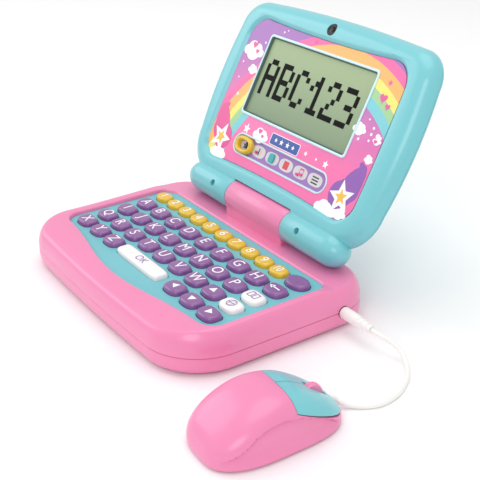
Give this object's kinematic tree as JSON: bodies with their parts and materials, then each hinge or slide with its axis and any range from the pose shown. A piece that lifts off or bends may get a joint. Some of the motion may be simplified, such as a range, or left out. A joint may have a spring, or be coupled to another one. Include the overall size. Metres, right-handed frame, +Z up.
{
  "type": "toy laptop computer",
  "caption": "Child's toy laptop: a lidded case with letter and number keys, a screen in the fold-up lid and a wired mouse on a plug-in lead",
  "frame": {"origin": "on the table under the middle of the laptop and mouse together (the lead's plug and cord left out)", "axes": "+X to the user's right along the keyboard, +Y away from the user towards the hinge, +Z up"},
  "size_m": [0.325, 0.2454, 0.1734],
  "materials": {
    "pink_plastic": "glossy moulded ABS",
    "turquoise_plastic": "glossy moulded ABS",
    "purple_plastic": "glossy moulded keys with pale legends",
    "yellow_plastic": "glossy moulded plastic",
    "white_plastic": "glossy moulded keys with purple legends",
    "white_vinyl": "soft PVC",
    "dark_lens": "polished black",
    "dark_plastic": "moulded black",
    "rubber_sheet": "moulded silicone sheet",
    "circuit_board": "laminate with solder resist",
    "steel_pin": "drawn wire",
    "printed_panel": "printed and varnished sheet",
    "lcd": "reflective liquid crystal panel"
  },
  "bodies": {
    "base": {"bottom_case": "pink_plastic", "top_case": "pink_plastic", "keyboard_bezel": "turquoise_plastic", "key_membrane": "rubber_sheet", "main_board": "circuit_board", "speaker": "dark_plastic", "mouse_socket": "dark_plastic", "battery_door": "pink_plastic", "hinge_pin": "steel_pin"},
    "lid": {"lid_front": "turquoise_plastic", "lid_back": "turquoise_plastic", "art_panel": "printed_panel", "display_module": "lcd", "camera_lens": "dark_lens"},
    "mode_slider": {"mode_slider": "yellow_plastic"},
    "number_key_strip": {"number_key_strip": "yellow_plastic"},
    "plug": {"cord_plug": "white_vinyl", "mouse_cord": "white_vinyl"},
    "mouse": {"mouse_base": "pink_plastic", "mouse_cover": "pink_plastic", "mouse_board": "circuit_board"},
    "mouse_left_button": {"mouse_left_button": "turquoise_plastic"},
    "mouse_right_button": {"mouse_right_button": "turquoise_plastic"},
    "mouse_wheel": {"mouse_wheel": "pink_plastic"},
    "key_A": {"key_A": "purple_plastic"},
    "key_B": {"key_B": "purple_plastic"},
    "key_C": {"key_C": "purple_plastic"},
    "key_D": {"key_D": "purple_plastic"},
    "key_E": {"key_E": "purple_plastic"},
    "key_F": {"key_F": "purple_plastic"},
    "key_G": {"key_G": "purple_plastic"},
    "key_H": {"key_H": "purple_plastic"},
    "key_I": {"key_I": "purple_plastic"},
    "key_J": {"key_J": "purple_plastic"},
    "key_K": {"key_K": "purple_plastic"},
    "key_L": {"key_L": "purple_plastic"},
    "key_M": {"key_M": "purple_plastic"},
    "key_N": {"key_N": "purple_plastic"},
    "key_O": {"key_O": "purple_plastic"},
    "key_P": {"key_P": "purple_plastic"},
    "key_Q": {"key_Q": "purple_plastic"},
    "key_R": {"key_R": "purple_plastic"},
    "key_S": {"key_S": "purple_plastic"},
    "key_T": {"key_T": "purple_plastic"},
    "key_U": {"key_U": "purple_plastic"},
    "key_V": {"key_V": "purple_plastic"},
    "key_W": {"key_W": "purple_plastic"},
    "key_X": {"key_X": "purple_plastic"},
    "key_Y": {"key_Y": "purple_plastic"},
    "key_Z": {"key_Z": "purple_plastic"},
    "key_book": {"key_book": "white_plastic"},
    "key_down": {"key_down": "purple_plastic"},
    "key_enter": {"key_enter": "white_plastic"},
    "key_erase": {"key_erase": "purple_plastic"},
    "key_language": {"key_language": "white_plastic"},
    "key_left": {"key_left": "purple_plastic"},
    "key_right": {"key_right": "purple_plastic"},
    "key_round": {"key_round": "purple_plastic"},
    "key_up": {"key_up": "purple_plastic"}
  },
  "joints": [
    {"name": "lid_hinge", "type": "hinge", "parent": "base", "child": "lid", "pos_m": [-0.04296, 0.04454, 0.0423], "axis": [1, 0, 0], "range_deg": [-14, 119]},
    {"name": "mode_slide", "type": "slide", "parent": "lid", "child": "mode_slider", "axis": [1, 0, 0], "range_m": [0, 0.0875]},
    {"name": "number_strip_press", "type": "slide", "parent": "base", "child": "number_key_strip", "axis": [0, 0, -1], "range_m": [0, 0.002], "stiffness_N_per_m": 900, "springref_m": -0.001},
    {"name": "key_A_press", "type": "slide", "parent": "base", "child": "key_A", "axis": [0, 0, -1], "range_m": [0, 0.002], "stiffness_N_per_m": 300, "springref_m": -0.001},
    {"name": "key_B_press", "type": "slide", "parent": "base", "child": "key_B", "axis": [0, 0, -1], "range_m": [0, 0.002], "stiffness_N_per_m": 300, "springref_m": -0.001},
    {"name": "key_C_press", "type": "slide", "parent": "base", "child": "key_C", "axis": [0, 0, -1], "range_m": [0, 0.002], "stiffness_N_per_m": 300, "springref_m": -0.001},
    {"name": "key_D_press", "type": "slide", "parent": "base", "child": "key_D", "axis": [0, 0, -1], "range_m": [0, 0.002], "stiffness_N_per_m": 300, "springref_m": -0.001},
    {"name": "key_E_press", "type": "slide", "parent": "base", "child": "key_E", "axis": [0, 0, -1], "range_m": [0, 0.002], "stiffness_N_per_m": 300, "springref_m": -0.001},
    {"name": "key_F_press", "type": "slide", "parent": "base", "child": "key_F", "axis": [0, 0, -1], "range_m": [0, 0.002], "stiffness_N_per_m": 300, "springref_m": -0.001},
    {"name": "key_G_press", "type": "slide", "parent": "base", "child": "key_G", "axis": [0, 0, -1], "range_m": [0, 0.002], "stiffness_N_per_m": 300, "springref_m": -0.001},
    {"name": "key_H_press", "type": "slide", "parent": "base", "child": "key_H", "axis": [0, 0, -1], "range_m": [0, 0.002], "stiffness_N_per_m": 300, "springref_m": -0.001},
    {"name": "key_I_press", "type": "slide", "parent": "base", "child": "key_I", "axis": [0, 0, -1], "range_m": [0, 0.002], "stiffness_N_per_m": 300, "springref_m": -0.001},
    {"name": "key_J_press", "type": "slide", "parent": "base", "child": "key_J", "axis": [0, 0, -1], "range_m": [0, 0.002], "stiffness_N_per_m": 300, "springref_m": -0.001},
    {"name": "key_K_press", "type": "slide", "parent": "base", "child": "key_K", "axis": [0, 0, -1], "range_m": [0, 0.002], "stiffness_N_per_m": 300, "springref_m": -0.001},
    {"name": "key_L_press", "type": "slide", "parent": "base", "child": "key_L", "axis": [0, 0, -1], "range_m": [0, 0.002], "stiffness_N_per_m": 300, "springref_m": -0.001},
    {"name": "key_M_press", "type": "slide", "parent": "base", "child": "key_M", "axis": [0, 0, -1], "range_m": [0, 0.002], "stiffness_N_per_m": 300, "springref_m": -0.001},
    {"name": "key_N_press", "type": "slide", "parent": "base", "child": "key_N", "axis": [0, 0, -1], "range_m": [0, 0.002], "stiffness_N_per_m": 300, "springref_m": -0.001},
    {"name": "key_O_press", "type": "slide", "parent": "base", "child": "key_O", "axis": [0, 0, -1], "range_m": [0, 0.002], "stiffness_N_per_m": 300, "springref_m": -0.001},
    {"name": "key_P_press", "type": "slide", "parent": "base", "child": "key_P", "axis": [0, 0, -1], "range_m": [0, 0.002], "stiffness_N_per_m": 300, "springref_m": -0.001},
    {"name": "key_Q_press", "type": "slide", "parent": "base", "child": "key_Q", "axis": [0, 0, -1], "range_m": [0, 0.002], "stiffness_N_per_m": 300, "springref_m": -0.001},
    {"name": "key_R_press", "type": "slide", "parent": "base", "child": "key_R", "axis": [0, 0, -1], "range_m": [0, 0.002], "stiffness_N_per_m": 300, "springref_m": -0.001},
    {"name": "key_S_press", "type": "slide", "parent": "base", "child": "key_S", "axis": [0, 0, -1], "range_m": [0, 0.002], "stiffness_N_per_m": 300, "springref_m": -0.001},
    {"name": "key_T_press", "type": "slide", "parent": "base", "child": "key_T", "axis": [0, 0, -1], "range_m": [0, 0.002], "stiffness_N_per_m": 300, "springref_m": -0.001},
    {"name": "key_U_press", "type": "slide", "parent": "base", "child": "key_U", "axis": [0, 0, -1], "range_m": [0, 0.002], "stiffness_N_per_m": 300, "springref_m": -0.001},
    {"name": "key_V_press", "type": "slide", "parent": "base", "child": "key_V", "axis": [0, 0, -1], "range_m": [0, 0.002], "stiffness_N_per_m": 300, "springref_m": -0.001},
    {"name": "key_W_press", "type": "slide", "parent": "base", "child": "key_W", "axis": [0, 0, -1], "range_m": [0, 0.002], "stiffness_N_per_m": 300, "springref_m": -0.001},
    {"name": "key_X_press", "type": "slide", "parent": "base", "child": "key_X", "axis": [0, 0, -1], "range_m": [0, 0.002], "stiffness_N_per_m": 300, "springref_m": -0.001},
    {"name": "key_Y_press", "type": "slide", "parent": "base", "child": "key_Y", "axis": [0, 0, -1], "range_m": [0, 0.002], "stiffness_N_per_m": 300, "springref_m": -0.001},
    {"name": "key_Z_press", "type": "slide", "parent": "base", "child": "key_Z", "axis": [0, 0, -1], "range_m": [0, 0.002], "stiffness_N_per_m": 300, "springref_m": -0.001},
    {"name": "key_book_press", "type": "slide", "parent": "base", "child": "key_book", "axis": [0, 0, -1], "range_m": [0, 0.002], "stiffness_N_per_m": 300, "springref_m": -0.001},
    {"name": "key_down_press", "type": "slide", "parent": "base", "child": "key_down", "axis": [0, 0, -1], "range_m": [0, 0.002], "stiffness_N_per_m": 300, "springref_m": -0.001},
    {"name": "key_enter_press", "type": "slide", "parent": "base", "child": "key_enter", "axis": [0, 0, -1], "range_m": [0, 0.002], "stiffness_N_per_m": 300, "springref_m": -0.001},
    {"name": "key_erase_press", "type": "slide", "parent": "base", "child": "key_erase", "axis": [0, 0, -1], "range_m": [0, 0.002], "stiffness_N_per_m": 300, "springref_m": -0.001},
    {"name": "key_language_press", "type": "slide", "parent": "base", "child": "key_language", "axis": [0, 0, -1], "range_m": [0, 0.002], "stiffness_N_per_m": 300, "springref_m": -0.001},
    {"name": "key_left_press", "type": "slide", "parent": "base", "child": "key_left", "axis": [0, 0, -1], "range_m": [0, 0.002], "stiffness_N_per_m": 300, "springref_m": -0.001},
    {"name": "key_right_press", "type": "slide", "parent": "base", "child": "key_right", "axis": [0, 0, -1], "range_m": [0, 0.002], "stiffness_N_per_m": 300, "springref_m": -0.001},
    {"name": "key_round_press", "type": "slide", "parent": "base", "child": "key_round", "axis": [0, 0, -1], "range_m": [0, 0.002], "stiffness_N_per_m": 300, "springref_m": -0.001},
    {"name": "key_up_press", "type": "slide", "parent": "base", "child": "key_up", "axis": [0, 0, -1], "range_m": [0, 0.002], "stiffness_N_per_m": 300, "springref_m": -0.001},
    {"name": "plug_pull", "type": "slide", "parent": "base", "child": "plug", "axis": [1, 0, 0], "range_m": [0, 0.013]},
    {"name": "mouse_move", "type": "slide", "parent": "plug", "child": "mouse", "axis": [0, 1, 0], "range_m": [-0.015, 0.015], "deforming": ["mouse_cord"]},
    {"name": "mouse_left_press", "type": "hinge", "parent": "mouse", "child": "mouse_left_button", "pos_m": [0.13473, -0.07058, 0.024], "axis": [0.9976, -0.0698, 0], "range_deg": [-1.5, 0], "stiffness_Nm_per_rad": 0.6, "springref_deg": 2.86},
    {"name": "mouse_right_press", "type": "hinge", "parent": "mouse", "child": "mouse_right_button", "pos_m": [0.13473, -0.07058, 0.024], "axis": [0.9976, -0.0698, 0], "range_deg": [-1.5, 0], "stiffness_Nm_per_rad": 0.6, "springref_deg": 2.86},
    {"name": "wheel_roll", "type": "hinge", "parent": "mouse", "child": "mouse_wheel", "pos_m": [0.13636, -0.04713, 0.0147], "axis": [0.9976, -0.0698, 0], "continuous": true}
  ]
}
